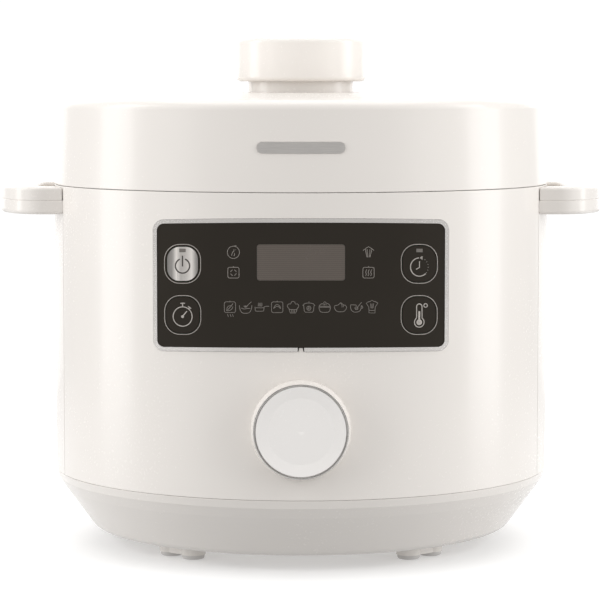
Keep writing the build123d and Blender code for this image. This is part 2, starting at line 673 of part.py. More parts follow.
# ---- valves -------------------------------------------------------------------------------------
def pressure_valve():
    """The weighted cap on the steam pipe, with the tab that turns it to vent."""
    x, y = VALVE_AT
    cap = Pos(x, y, 0) * turned([(0, 256), (11.6, 256), (12, 258), (10.6, 268), (0, 268)], [0, 1, 1, 2.4, 0])
    tab = fillet(block(x - 3.6, x + 3.6, y, y + 22, 260, 264.6).edges().filter_by(Axis.Z), 2.5)
    return cap + tab - disc(PIPE_R + RUNNING, 250, 264.3, VALVE_AT)


def float_pin():
    pin = disc(FLOAT_R, 194, 250, FLOAT_AT) + disc(4.4, 194, 195.6, FLOAT_AT)
    return pin + disc(3.6, 249, 252.6, FLOAT_AT)


def float_seal():
    return tube(4.2, FLOAT_R, 195.6, 196.6, FLOAT_AT)


# ---- assembly -----------------------------------------------------------------------------------
def keys():
    return {name: key(*place) for name, *place in key_places()}


def handles():
    """Both handles: the left one is the right one mirrored."""
    upper, lower = handle_upper(), handle_lower()
    return {"right_handle_upper": upper, "right_handle_lower": lower,
            "left_handle_upper": mirror(upper, Plane.YZ), "left_handle_lower": mirror(lower, Plane.YZ)}


PIECES = (base_shell, foot_pads, base_screws, liner_posts, front_housing, rear_housing, top_ring, locking_ring,
          outer_liner, heat_shield, heating_plate, heating_element, sensor_housing, sensor_spring, sensor_cap,
          thermal_fuse, panel_bezel, panel_window, panel_carrier, lcd_module, control_boards, key_switches,
          encoder, dial_surround, dial_shaft, dial_body, dial_ring, dial_cap, power_board, transformer,
          wiring_harness, inlet_socket, inlet_pins, handle_screws, collector_bracket, condensate_cup,
          cooking_pot, sealing_ring, lid_cover, lid_badge, lid_base, lid_plate, inner_lid, inner_lid_grommet,
          knob_neck, knob_cap, lid_screws, steam_pipe, float_bush, pressure_valve, float_pin, float_seal)


def main():
    os.makedirs("parts", exist_ok=True)
    nodes = {piece.__name__: piece() for piece in PIECES}
    nodes.update(keys())
    nodes.update(handles())
    for name, shape in nodes.items():
        export_step(shape, f"parts/{name}.step")
    print(len(nodes), "nodes")


main()
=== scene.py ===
"""Electric pressure cooker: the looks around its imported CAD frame.

Run as a script, it gives every CAD node its finish, prints the symbols on the control panel and the keys,
and sets up a plain studio. Lengths are in metres, in the frame's own axes: +Z up, the panel faces -Y.
"""

import json
from math import cos, pi, radians, sin, sqrt, tan

import bpy
from bpy.props import FloatProperty, FloatVectorProperty, PointerProperty
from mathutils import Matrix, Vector


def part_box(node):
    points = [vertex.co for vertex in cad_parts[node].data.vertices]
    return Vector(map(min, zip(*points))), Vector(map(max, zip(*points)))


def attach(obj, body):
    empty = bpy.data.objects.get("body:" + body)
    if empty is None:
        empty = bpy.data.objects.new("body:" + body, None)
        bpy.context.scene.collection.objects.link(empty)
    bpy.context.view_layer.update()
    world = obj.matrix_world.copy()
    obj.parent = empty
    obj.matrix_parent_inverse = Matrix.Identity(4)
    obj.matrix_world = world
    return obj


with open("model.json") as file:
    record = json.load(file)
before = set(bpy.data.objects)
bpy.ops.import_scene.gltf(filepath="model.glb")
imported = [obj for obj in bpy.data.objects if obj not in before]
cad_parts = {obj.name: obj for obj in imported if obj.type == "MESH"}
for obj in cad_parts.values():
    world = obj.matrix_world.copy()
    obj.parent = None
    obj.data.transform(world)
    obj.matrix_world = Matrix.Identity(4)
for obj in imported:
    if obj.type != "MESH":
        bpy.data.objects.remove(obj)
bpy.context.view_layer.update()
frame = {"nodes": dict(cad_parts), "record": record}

bl_info = {
    "name": "Electric pressure cooker",
    "version": (1, 0, 0),
    "blender": (4, 5, 0),
    "location": "3D View > Sidebar > Cooker",
    "description": "Finishes, panel symbols and studio for the pressure cooker's CAD frame",
    "category": "Object",
}

MM = 0.001

# ---- the panel's own surface: a round wall, with outlines cut square to a line of sight ----------------
BODY_R = -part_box("front_housing")[0].y
PANEL_LEAN = radians(4.4)
WINDOW_R = BODY_R + 0.5 * MM  # the window stands proud of the housing
KEY_R = BODY_R + 0.7 * MM  # and the keys stand proud of the window
PRINT_FLATNESS = 0.22  # height of a printed line, as a share of a round rib's
PRINT_LIFT = 0.03 * MM  # keeps the print's crown clear of the surface under it


def square_height(point):
    """Height of a point once the panel's lean is taken out."""
    return point.z + (point.y + BODY_R) * tan(PANEL_LEAN)


def spread(values):
    """Middle and half width of a list of numbers."""
    low, high = min(values), max(values)
    return (low + high) / 2, (high - low) / 2


PANEL_Z = spread([square_height(v.co) for v in frame["nodes"]["panel_window"].data.vertices])[0]


def panel_place(node):
    """Middle (x, rise) and half size of a node, seen square to the panel."""
    points = [v.co for v in frame["nodes"][node].data.vertices]
    x, half_width = spread([p.x for p in points])
    rise, half_height = spread([(square_height(p) - PANEL_Z) * cos(PANEL_LEAN) for p in points])
    return (x, rise), (half_width, half_height)


# ---- shader arithmetic --------------------------------------------------------------------------------
def plug(tree, value, place):
    """Links a shader value to a socket, or sets the socket to a plain number or colour."""
    if isinstance(value, Shade):
        tree.links.new(value.socket, place)
    elif isinstance(value, (int, float)):
        place.default_value = value
    else:
        parts = tuple(value)
        place.default_value = parts + (1.0,) * (len(place.default_value) - len(parts))


class Shade:
    """A shader value. Arithmetic on it adds Math nodes."""

    def __init__(self, tree, socket):
        self.tree = tree
        self.socket = socket

    def math(self, operation, first, second):
        """Adds one Math node and gives its output."""
        node = self.tree.nodes.new("ShaderNodeMath")
        node.operation = operation
        plug(self.tree, first, node.inputs[0])
        plug(self.tree, second, node.inputs[1])
        return Shade(self.tree, node.outputs[0])

    def __add__(self, other):
        return self.math("ADD", self, other)

    def __radd__(self, other):
        return self.math("ADD", other, self)

    def __sub__(self, other):
        return self.math("SUBTRACT", self, other)

    def __rsub__(self, other):
        return self.math("SUBTRACT", other, self)

    def __mul__(self, other):
        return self.math("MULTIPLY", self, other)

    def __rmul__(self, other):
        return self.math("MULTIPLY", other, self)

    def __truediv__(self, other):
        return self.math("DIVIDE", self, other)

    def __pow__(self, other):
        return self.math("POWER", self, other)

    def __gt__(self, other):
        return self.math("GREATER_THAN", self, other)


class Finish:
    """One material, built node by node."""

    def __init__(self, name):
        self.material = bpy.data.materials.new(name)
        self.material.use_nodes = True
        self.tree = self.material.node_tree
        self.surface = self.tree.nodes["Principled BSDF"]

    def node(self, kind, settings=None, inputs=None, output=0):
        """Any node: its settings first, then its sockets. Gives the output asked for."""
        made = self.tree.nodes.new("ShaderNode" + kind)
        for key, value in (settings or {}).items():
            if key == "stops":
                for place, (at, colour) in zip(self.stops(made, len(value)), value):
                    place.position = at
                    place.color = (*colour, 1.0)
            else:
                setattr(made, key, value)
        for key, value in (inputs or {}).items():
            plug(self.tree, value, made.inputs[key])
        return Shade(self.tree, made.outputs[output])

    def stops(self, ramp, count):
        """The ramp's elements, once there are enough of them."""
        elements = ramp.color_ramp.elements
        while len(elements) < count:
            elements.new(1.0)
        return elements

    def place(self, scale=(1, 1, 1)):
        """The surface's own coordinates, stretched along each axis."""
        at = self.node("TexCoord", output="Object")
        return self.node("Mapping", inputs={"Vector": at, "Scale": scale})

    def noise(self, at, scale, detail=3.0, rough=0.5):
        sockets = {"Vector": at, "Scale": scale, "Detail": detail, "Roughness": rough}
        return self.node("TexNoise", inputs=sockets)

    def between(self, factor, first, second):
        """A colour that runs from one to the other."""
        return self.node("Mix", {"data_type": "RGBA"}, {"Factor": factor, 6: first, 7: second}, output=2)

    def bump(self, height, distance, strength=1.0):
        normal = self.node("Bump", inputs={"Height": height, "Distance": distance, "Strength": strength})
        self.wear({"Normal": normal})

    def wear(self, values):
        """What varies over the surface, or is the same all over it, on the surface shader."""
        for key, value in values.items():
            plug(self.tree, value, self.surface.inputs[key])
        return self


def tinted(colour, factor):
    """A colour made darker or lighter."""
    return tuple(min(c * factor, 1.0) for c in colour)


# ---- finishes -----------------------------------------------------------------------------------------
def gloss_moulding(name, colour):
    """Glossy moulded plastic: a faint drift of tone and the skin of a polished mould."""
    finish = Finish(name)
    at = finish.place()
    drift = finish.noise(at, 14, 2)
    skin = finish.noise(at, 700, 3)
    finish.wear({"Base Color": finish.between(drift, tinted(colour, 0.975), tinted(colour, 1.01)),
                 "Roughness": 0.26 + 0.07 * (skin - 0.5) + 0.03 * (drift - 0.5),
                 "Coat Weight": 0.15, "Coat Roughness": 0.06, "IOR": 1.5})
    finish.bump(skin + 4 * drift, 0.002 * MM, 0.2)
    return finish.material


def satin_moulding(name, colour):
    """Moulded plastic with a fine spark-eroded grain."""
    finish = Finish(name)
    at = finish.place()
    fine = finish.noise(at, 1400, 4, 0.6)
    drift = finish.noise(at, 25, 2)
    finish.wear({"Base Color": finish.between(drift, tinted(colour, 0.92), tinted(colour, 1.06)),
                 "Roughness": 0.48 + 0.12 * (fine - 0.5)})
    finish.bump(fine, 0.02 * MM, 0.6)
    return finish.material


def panel_gloss(name, colour):
    """Polished black glass-like plastic with the faintest handling haze."""
    finish = Finish(name)
    at = finish.place()
    haze = finish.noise(at, 38, 5, 0.62)
    dust = finish.noise(at, 2600, 2)
    finish.wear({"Base Color": finish.between(haze, tinted(colour, 0.9), tinted(colour, 1.1)),
                 "Roughness": 0.1 + 0.05 * haze + 0.04 * (dust > 0.68), "Specular IOR Level": 0.3})
    finish.bump(haze, 0.006 * MM, 0.4)
    return finish.material


def display_glass(name, colour):
    """An unlit display: fine rows behind a grey-brown film."""
    finish = Finish(name)
    rows = finish.node("TexWave", {"bands_direction": "Z"}, {"Vector": finish.place(), "Scale": 300.0})
    haze = finish.noise(finish.place(), 60, 3)
    shade = 0.6 * rows + 0.4 * haze
    finish.wear({"Base Color": finish.between(shade, tinted(colour, 0.86), tinted(colour, 1.12)),
                 "Roughness": 0.22 + 0.08 * haze, "Coat Weight": 0.6, "Coat Roughness": 0.05})
    finish.bump(rows, 0.003 * MM, 0.3)
    return finish.material


def plated_metal(name, colour, roughness=0.12, metallic=1.0):
    """Plating with hairline marks and a slight tarnish. Less metallic, it is a silver lacquer."""
    finish = Finish(name)
    at = finish.place()
    hairline = finish.noise(finish.place((300, 300, 4200)), 1, 3)
    tarnish = finish.noise(at, 45, 4)
    finish.wear({"Base Color": finish.between(tarnish, tinted(colour, 0.9), tinted(colour, 1.05)),
                 "Metallic": metallic, "Roughness": roughness + 0.08 * hairline + 0.05 * tarnish})
    finish.bump(hairline, 0.004 * MM, 0.4)
    return finish.material


def brushed_metal(name, colour, stretch, roughness=0.26):
    """Metal brushed one way: stretch is how fast the grain changes along each axis."""
    finish = Finish(name)
    grain = finish.noise(finish.place(stretch), 1, 5, 0.65)
    broad = finish.noise(finish.place(tuple(s * 0.12 for s in stretch)), 1, 3)
    finish.wear({"Base Color": finish.between(grain, tinted(colour, 0.8), tinted(colour, 1.12)),
                 "Metallic": 1.0, "Roughness": roughness + 0.18 * (grain - 0.5) + 0.08 * (broad - 0.5)})
    finish.bump(grain, 0.02 * MM, 0.5)
    return finish.material


def banded_metal(name, colour):
    """Metal brushed upright, with a painted reflection: pale bands of painted highlight and dark bands of
    painted shade run down the power key.
    """
    finish = Finish(name)
    grain = finish.noise(finish.place((2600, 2600, 60)), 1, 5, 0.65)
    (middle, _), (half_width, _) = panel_place("power_key")
    at = finish.node("SeparateXYZ", inputs={"Vector": finish.place()}, output="X")
    across = (at - middle) / (2 * half_width) + 0.5 + 0.03 * (grain - 0.5)
    # painted reflection: the pale stops are painted highlights, the dark stops at both edges painted shade
    stops = [(0.0, tinted(colour, 0.35)), (0.16, tinted(colour, 0.5)), (0.3, tinted(colour, 1.5)),
             (0.44, tinted(colour, 0.85)), (0.62, tinted(colour, 1.05)), (0.8, tinted(colour, 1.5)),
             (0.93, tinted(colour, 0.6)), (1.0, tinted(colour, 0.35))]
    painted_reflection_bands = finish.node("ValToRGB", {"stops": stops}, {"Fac": across})
    finish.wear({"Base Color": finish.between(0.25 * grain, painted_reflection_bands, colour), "Metallic": 0.6,
                 "Roughness": 0.3 + 0.16 * (grain - 0.5)})
    finish.bump(grain, 0.02 * MM, 0.5)
    return finish.material


def turned_metal(name, colour, roughness=0.25, pitch=1500, depth=0.02):
    """Spun or turned metal: the grain runs round the upright axis, pitch lines to the metre, depth in mm."""
    finish = Finish(name)
    at = finish.node("TexCoord", output="Object")
    apart = [finish.node("SeparateXYZ", inputs={"Vector": at}, output=axis) for axis in "XYZ"]
    radius = (apart[0] * apart[0] + apart[1] * apart[1]) ** 0.5
    rings = finish.node("CombineXYZ", inputs={"X": radius * pitch, "Y": apart[2] * pitch, "Z": 0.0})
    grain = finish.noise(rings, 1, 4, 0.6)
    stain = finish.noise(at, 30, 4)
    finish.wear({"Base Color": finish.between(grain, tinted(colour, 0.82), tinted(colour, 1.1)),
                 "Metallic": 1.0, "Roughness": roughness + 0.16 * (grain - 0.5) + 0.08 * stain})
    finish.bump(grain, depth * MM, 0.5)
    return finish.material


def cast_metal(name, colour):
    """Sand-cast metal, matt and slightly pitted."""
    finish = Finish(name)
    at = finish.place()
    grain = finish.noise(at, 900, 6, 0.7)
    stain = finish.noise(at, 24, 4)
    finish.wear({"Base Color": finish.between(stain, tinted(colour, 0.82), tinted(colour, 1.12)),
                 "Metallic": 1.0, "Roughness": 0.42 + 0.2 * (grain - 0.5)})
    finish.bump(grain, 0.05 * MM, 0.7)
    return finish.material


def heated_steel(name, colour):
    """Steel sheath with straw and blue heat colours."""
    finish = Finish(name)
    heat = finish.noise(finish.place(), 55, 3)
    straw, blue = (0.34, 0.22, 0.12), (0.16, 0.14, 0.24)
    stops = [(0.3, tinted(colour, 0.7)), (0.5, straw), (0.62, blue), (0.8, colour)]
    tones = finish.node("ValToRGB", {"stops": stops}, {"Fac": heat})
    fine = finish.noise(finish.place(), 1800, 4)
    finish.wear({"Base Color": tones, "Metallic": 1.0, "Roughness": 0.34 + 0.18 * fine})
    finish.bump(fine, 0.02 * MM, 0.5)
    return finish.material


def soft_rubber(name, colour, roughness=0.6, lucid=0.0):
    """Rubber or silicone: matt, with a fine bloom."""
    finish = Finish(name)
    at = finish.place()
    bloom = finish.noise(at, 60, 5, 0.6)
    fine = finish.noise(at, 1700, 3)
    finish.wear({"Base Color": finish.between(bloom, tinted(colour, 0.9), tinted(colour, 1.06)),
                 "Roughness": roughness + 0.12 * (bloom - 0.5), "Subsurface Weight": lucid,
                 "Subsurface Radius": (0.004, 0.004, 0.003), "Subsurface Scale": 0.5})
    finish.bump(fine, 0.015 * MM, 0.6)
    return finish.material


def printed_board(name, colour):
    """A circuit board: copper tracks under green varnish, with plated pads."""
    finish = Finish(name)
    at = finish.place()
    tracks = finish.node("TexBrick", {"offset": 0.4, "squash": 0.6},
                         {"Vector": finish.place(), "Scale": 120.0, "Mortar Size": 0.05}, output="Fac")
    cells = {"Vector": at, "Scale": 260.0}
    from_pad = finish.node("TexVoronoi", {"distance": "CHEBYCHEV"}, cells, output="Distance")
    pad = 1 - (from_pad > 0.2)
    green = finish.between(tracks, colour, tinted(colour, 1.9))
    finish.wear({"Base Color": finish.between(pad, green, (0.55, 0.5, 0.4)), "Roughness": 0.35 - 0.1 * pad,
                 "Metallic": 0.8 * pad, "Coat Weight": 0.4})
    finish.bump(tracks + 2 * pad, 0.03 * MM, 0.8)
    return finish.material


def wound_wire(name, colour):
    """Enamelled copper winding on a dark laminated core."""
    finish = Finish(name)
    wave = {"Vector": finish.place(), "Scale": 420.0, "Distortion": 0.6}
    turns = finish.node("TexWave", {"bands_direction": "Y"}, wave)
    stain = finish.noise(finish.place(), 140, 3)
    finish.wear({"Base Color": finish.between(turns, tinted(colour, 0.5), tinted(colour, 1.3)),
                 "Metallic": 0.6, "Roughness": 0.3 + 0.15 * stain})
    finish.bump(turns, 0.12 * MM, 0.8)
    return finish.material


def frosted_plastic(name, colour):
    """Translucent frosted plastic."""
    finish = Finish(name)
    at = finish.place()
    frost = finish.noise(at, 1100, 4)
    drift = finish.noise(at, 20, 2)
    finish.wear({"Base Color": finish.between(drift, tinted(colour, 0.95), tinted(colour, 1.03)),
                 "Roughness": 0.32 + 0.12 * frost, "Transmission Weight": 0.55, "IOR": 1.46})
    finish.bump(frost, 0.012 * MM, 0.5)
    return finish.material


def printed_ink(name, colour, metallic=0.3):
    """Screen-printed ink, a little uneven at its edges."""
    finish = Finish(name)
    at = finish.place()
    grain = finish.noise(at, 3800, 3)
    finish.wear({"Base Color": finish.between(grain, tinted(colour, 0.88), tinted(colour, 1.08)),
                 "Metallic": metallic, "Roughness": 0.34 + 0.16 * grain})
    finish.bump(grain, 0.008 * MM, 0.5)
    return finish.material


# ---- settings -----------------------------------------------------------------------------------------
def colour_setting(name, default, description):
    """A colour, as linear red, green and blue."""
    return FloatVectorProperty(name=name, subtype="COLOR", size=3, min=0.0, max=1.0, default=default,
                               description=description)


def length_setting(name, default, description):
    """A length in metres."""
    return FloatProperty(name=name, subtype="DISTANCE", unit="LENGTH", default=default, precision=4,
                         description=description)


def power_setting(name, default, description):
    """A lamp's power in watts."""
    return FloatProperty(name=name, unit="POWER", min=0.0, default=default, description=description)


def share_setting(name, default, description):
    """A strength between none and full."""
    return FloatProperty(name=name, subtype="FACTOR", min=0.0, max=1.0, default=default,
                         description=description)


class CookerFinishes(bpy.types.PropertyGroup):
    """Colours of the finishes that show from outside"""
    shell: colour_setting("Shell", (0.81, 0.772, 0.732), "Glossy white plastic of the housing and lid")
    dial_face: colour_setting("Dial face", (0.93, 0.905, 0.88), "Whiter plastic of the dial's cap")
    window: colour_setting("Panel window", (0.021, 0.0165, 0.0115), "Polished dark window of the panel")
    display: colour_setting("Display", (0.1, 0.081, 0.067), "Unlit display in the window")
    trim: colour_setting("Trim", (0.86, 0.83, 0.8), "Plated trim round the window and the dial")
    key_metal: colour_setting("Power key", (0.6, 0.57, 0.54), "Brushed cap of the power key")
    badge: colour_setting("Badge", (0.8, 0.77, 0.74), "Satin badge on the lid")
    outline_ink: colour_setting("Key print", (0.42, 0.39, 0.36), "Ink of the key outlines and symbols")
    symbol_ink: colour_setting("Symbol print", (0.2, 0.18, 0.162), "Fainter ink of the programme symbols")


class CookerPanelPrint(bpy.types.PropertyGroup):
    """Sizes of the print on the control panel"""
    outline_gap: length_setting("Outline gap", 0.7 * MM, "Room between a key and its printed outline")
    outline_corner: length_setting("Outline corner", 8.1 * MM, "Corner radius of the key outlines")
    outline_line: length_setting("Outline line", 0.42 * MM, "Width of the key outlines")
    power_line: length_setting("Power line", 0.72 * MM, "Width of the lines in the power key's symbol")
    key_line: length_setting("Key line", 0.5 * MM, "Width of the lines in the other keys' symbols")
    lamp_line: length_setting("Lamp line", 0.95 * MM, "Width of the strokes that fill a lamp window")
    symbol_line: length_setting("Symbol line", 0.34 * MM, "Width of the lines in the smaller symbols")
    row_rise: length_setting("Row height", -11.4 * MM, "Programme row above the panel's middle")
    row_pitch: length_setting("Row pitch", 8.24 * MM, "Distance between neighbouring programme symbols")
    side_reach: length_setting("Side reach", 12.2 * MM, "From the display's edge to the symbols beside it")
    side_step: length_setting("Side step", 5.3 * MM, "Half the distance between two symbols at one side")


class CookerStudio(bpy.types.PropertyGroup):
    """Camera, lights and floor"""
    distance: length_setting("Camera distance", 1.509, "From the cooker's axis to the camera")
    height: length_setting("Camera height", 0.2601, "Of the camera above the floor")
    aside: length_setting("Camera aside", -0.5 * MM, "Of the camera, sideways")
    tilt: FloatProperty(name="Camera tilt", subtype="ANGLE", default=radians(4.70),
                        description="How far the camera looks down")
    lens: FloatProperty(name="Lens", unit="CAMERA", default=158.4, description="Focal length in millimetres")
    side_power: power_setting("Side lights", 5.8, "Power of each side softbox")
    flank_power: power_setting("Flank lights", 8.4, "Power of each softbox between the side and the camera")
    top_power: power_setting("Top light", 11.0, "Power of the overhead softbox")
    back_power: power_setting("Back light", 26.0, "Power of the white backdrop light")
    fill: share_setting("Fill", 0.46, "Strength of the even light from all round")
    floor_glow: share_setting("Floor glow", 0.25, "Light that the floor gives off by itself")
    floor_reach: length_setting("Floor reach", 1.3, "Radius at which the floor has faded away")


# ---- tools for new pieces -----------------------------------------------------------------------------
def only(piece):
    """Selects one object and nothing else."""
    bpy.ops.object.select_all(action="DESELECT")
    piece.select_set(True)
    bpy.context.view_layer.objects.active = piece


def finished(piece, name, body, material):
    """Names a piece, gives it its finish and lets it ride on its body."""
    piece.name = name
    piece.data.name = name
    piece.data.materials.clear()
    piece.data.materials.append(material)
    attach(piece, body)
    return piece


def arc(x, y, radius, start=0.0, end=360.0, steps=24):
    """Points along a circle or part of one, in millimetres."""
    angles = [radians(start + (end - start) * i / steps) for i in range(steps + 1)]
    return [(x + radius * cos(a), y + radius * sin(a)) for a in angles]


def rounded_box(half_width, half_height, radius, steps=6):
    """Outline of a box with round corners, about its own middle, in millimetres."""
    points = []
    for turn, (sx, sy) in enumerate(((1, 1), (-1, 1), (-1, -1), (1, -1))):
        centre = (sx * (half_width - radius), sy * (half_height - radius))
        points += arc(*centre, radius, 90 * turn, 90 * turn + 90, steps)
    return points


def closed(points):
    """A stroke that runs back to its start."""
    return ("closed", points)


def line(*points):
    """A stroke of straight lines."""
    return ("open", list(points))


def curve(*points):
    """A stroke that bends smoothly towards its inner points."""
    return ("smooth", list(points))


def stroke_spline(data, kind, points):
    """Adds one stroke, in millimetres, to a curve."""
    spline = data.splines.new("NURBS" if kind == "smooth" else "POLY")
    spline.points.add(len(points) - 1)
    for point, (x, y) in zip(spline.points, points):
        point.co = (x * MM, y * MM, 0, 1)
    spline.use_cyclic_u = kind == "closed"
    if kind == "smooth":
        spline.order_u = 3
        spline.use_endpoint_u = True
        spline.resolution_u = 6


def drawn(strokes, width):
    """Line art as a mesh: each stroke is a low rib, flat on its back."""
    data = bpy.data.curves.new("strokes", "CURVE")
    data.dimensions = "3D"
    data.bevel_depth = width / 2
    data.bevel_resolution = 1
    data.use_fill_caps = True
    for kind, points in strokes:
        stroke_spline(data, kind, points)
    piece = bpy.data.objects.new("strokes", data)
    bpy.context.collection.objects.link(piece)
    only(piece)
    bpy.ops.object.convert(target="MESH")
    return bpy.context.object


def on_round_panel(piece, x, rise, radius):
    """Lays a drawing on the round panel, flattened to a print that stands just proud of it."""
    for vertex in piece.data.vertices:
        across = x + vertex.co.x
        lift = vertex.co.z * PRINT_FLATNESS + PRINT_LIFT
        y = -sqrt((radius + lift) ** 2 - across**2)
        height = (rise + vertex.co.y) / cos(PANEL_LEAN) - (y + BODY_R) * tan(PANEL_LEAN)
        vertex.co = (across, y, PANEL_Z + height)
    return piece


# ---- symbols, in millimetres about their own middles --------------------------------------------------
KNOB_DOT = [line((-0.25, 3.15), (0.25, 3.15))]
LIDDED_BOX = [closed(rounded_box(2.95, 2.8, 1.0))] + KNOB_DOT


def lamp_window():
    """A small filled pill high on a key, drawn as three strokes that meet."""
    rise, reach, step = 7.0, 1.7, 0.45
    return [line((-reach, rise + step * row), (reach, rise + step * row)) for row in (-1, 0, 1)]


def power_symbol():
    return [line(*arc(0, -1.1, 3.8, 112, 428, 32)), line((0, 4.3), (0, -1.4))]


def timer_symbol():
    hub = [closed(arc(0, -0.8, radius, steps=10)) for radius in (0.2, 0.55)]
    hand = [line((0.3, -0.3), (2.3, 2.0))] + hub
    crown = [line((-1.25, 6.2), (1.25, 6.2)), line((0, 6.0), (0, 4.6)), line((2.9, 4.6), (4.5, 3.4)),
             line((3.2, 3.2), (3.9, 4.1))]
    return [closed(arc(0, -0.8, 5.1, steps=36))] + hand + crown


def delay_symbol():
    solid = [line(*arc(0, -1.7, 4.8, 92, 315, 28)), line((0, 1.3), (0, -1.9), (-1.8, -2.9))]
    dots = [line(*arc(0, -1.7, 4.8, a, a + 2, 1)) for a in (-38, -20, -2, 16, 34, 52)]
    arrow = [line((0.5, 3.1), (1.5, 3.8), (1.5, 2.4), (0.5, 3.1))]
    return solid + dots + arrow


def temperature_symbol():
    glass = line(*arc(0, -3.8, 2.6, 125, 415, 22), (1.45, 4.4), *arc(0, 4.4, 1.45, 0, 180, 10),
                 (-1.45, -1.7))
    liquid = [line((0, 2.0), (0, -3.8)), line((0.28, 2.0), (0.28, -3.8)), line((-0.28, 2.0), (-0.28, -3.8))]
    bulb = [closed(arc(0, -3.8, r, steps=14)) for r in (0.45, 0.9, 1.3)]
    degree = [closed(arc(3.4, 5.0, 0.95, steps=14))]
    return [glass] + liquid + bulb + degree


def keep_warm_pot():
    waves = [curve((x - 0.4, -1.7), (x + 0.4, -0.9), (x - 0.5, 0.2), (x + 0.3, 1.7))
             for x in (-1.2, 0.1, 1.4)]
    return LIDDED_BOX + waves


def stirring_pot():
    arrows = [line(*arc(0, 0, 1.5, a, a + 62, 6)) for a in (15, 105, 195, 285)]
    return LIDDED_BOX + arrows


def small_dial():
    return [closed(arc(0, 0, 3.2, steps=28)), line((0.6, 3.4), (1.6, 3.4)),
            curve((-0.9, -1.6), (-0.6, 0.2), (0.4, 0.4), (0.3, 1.6)), line((1.1, 1.1), (1.2, 1.3)),
            curve((0.2, -1.9), (0.9, -1.3), (0.4, -0.3))]


def steam_arrow():
    head = [line((-2.9, 0.9), (-1.4, 2.1), (0, 2.9), (1.4, 2.1), (2.9, 0.9))]
    return head + [line((x, 1.6), (0.45 * x, -2.6)) for x in (-1.7, -0.8, 0.8, 1.7)]


def pressure_pot():
    leaf = [curve((-1.7, -1.9), (-1.6, 0.6), (1.2, 0.8), (1.5, 1.9)),
            curve((-1.7, -1.9), (1.0, -2.0), (1.6, 0.3)), line((-1.3, -1.5), (1.0, 0.9))]
    marks = [line((x, -3.7), (x + 0.5, -5.0)) for x in (-1.3, 0.1, 1.3)]
    return LIDDED_BOX + leaf + marks


def soup_bowl():
    bowl = [curve((-3.3, 1.0), (-3.0, -2.6), (0, -3.4), (3.0, -2.6), (3.3, 1.0))]
    soup = [curve((-2.4, -0.4), (-0.8, -1.1), (0.9, -0.6), (2.4, -0.7))]
    spoon = [line((0.1, -0.3), (1.6, 1.6), (3.1, 2.9)),
             line((-1.0, 0.6), (0.7, 0.7), (-0.1, -0.3), (-1.0, 0.6)), line((-0.5, 0.4), (0.4, 0.4))]
    return bowl + soup + spoon


def frying_pan():
    pan = [curve((-3.3, 0.2), (-3.3, -1.9), (-2.6, -2.1), (0.6, -2.1), (1.3, -1.9), (1.4, 0.2)),
           line((-2.9, -0.3), (1.2, -0.3)), curve((1.4, 0.1), (2.3, 0.7), (4.0, 0.4))]
    food = [line((x, 0.4), (x + 0.1, 2.3)) for x in (-1.6, -1.0, -0.4, 0.2)]
    return pan + food


def roasting_box():
    roof = [curve((-1.9, -0.8), (-1.2, 1.4), (1.2, 1.4), (1.9, -0.8)),
            line((-1.5, -0.4), (-0.3, 0.6), (0.2, 0.2)), line((0.3, 0.7), (1.6, -0.6))]
    return LIDDED_BOX + roof


def sponge_cake():
    top = [curve((-1.7, -1.2), (-3.4, 0.4), (-2.3, 1.9), (-1.2, 1.5), (-0.9, 3.0), (0.9, 3.0), (1.2, 1.5),
                 (2.3, 1.9), (3.4, 0.4), (1.7, -1.2))]
    case = [line((-2.1, -1.0), (-1.4, -3.0), (1.4, -3.0), (2.1, -1.0)), line((-1.9, -1.2), (1.9, -1.2))]
    return top + case + [line((x, -1.4), (0.7 * x, -2.8)) for x in (-0.9, 0, 0.9)]


def casserole():
    pot = [line((-2.7, 0.9), (-2.4, -1.9), (-1.8, -2.6), (1.8, -2.6), (2.4, -1.9), (2.7, 0.9)),
           curve((-2.9, 1.0), (-2.6, 1.9), (0, 2.3), (2.6, 1.9), (2.9, 1.0)), line((-3.3, 0.9), (-2.6, 0.9)),
           line((2.6, 0.9), (3.3, 0.9)), line((-0.3, 2.7), (0.3, 2.7))]
    herb = [closed(arc(0, -0.5, 1.1, steps=12)), line((0, -1.4), (0, 0.4)), line((-0.8, -0.6), (0.8, -0.3))]
    return pot + herb


def rice_bowl():
    heap = [curve((-2.8, 0.7), (-2.0, 1.9), (-0.9, 1.7), (0, 3.2), (1.0, 1.8), (2.1, 1.9), (2.8, 0.7)),
            line((-0.9, 1.2), (-0.5, 1.5)), line((0.5, 1.5), (0.9, 1.2)), line((-0.2, 1.0), (0.2, 2.1))]
    bowl = [line((-3.1, 0.5), (3.1, 0.5)), line((-3.1, 0.0), (3.1, 0.0)),
            curve((-3.0, 0.2), (-2.8, -1.9), (-1.6, -2.7), (1.6, -2.7), (2.8, -1.9), (3.0, 0.2))]
    return heap + bowl


def stuffed_bun():
    bun = [curve((0, 2.4), (-1.1, 1.0), (-3.2, 0.9), (-3.2, -0.7), (-1.9, -2.3), (0, -2.4), (1.9, -2.3),
                 (3.2, -0.7), (3.0, 0.8), (1.5, 1.2), (0, 2.4))]
    return bun + [curve((0, 2.2), (1.2, 0.9), (0.6, 0.0)), curve((1.6, 1.3), (1.8, 0.6), (1.2, 0.1))]


def mixing_bowl():
    bowl = [curve((-3.1, 1.1), (-3.0, -1.2), (-1.6, -2.5), (0, -2.6), (1.6, -2.3), (2.6, -0.9), (2.6, 0.8)),
            curve((2.5, 0.9), (3.5, 0.5), (3.2, -0.8), (2.4, -0.6)),
            curve((-3.1, 1.1), (-1.6, 1.5), (0.3, 0.9))]
    whisk = [line((0.9, 0.3), (2.8, 2.6)), closed(arc(0.1, -0.5, 0.8, steps=12)),
             line((-0.4, -1.0), (0.9, 0.3))]
    return bowl + whisk


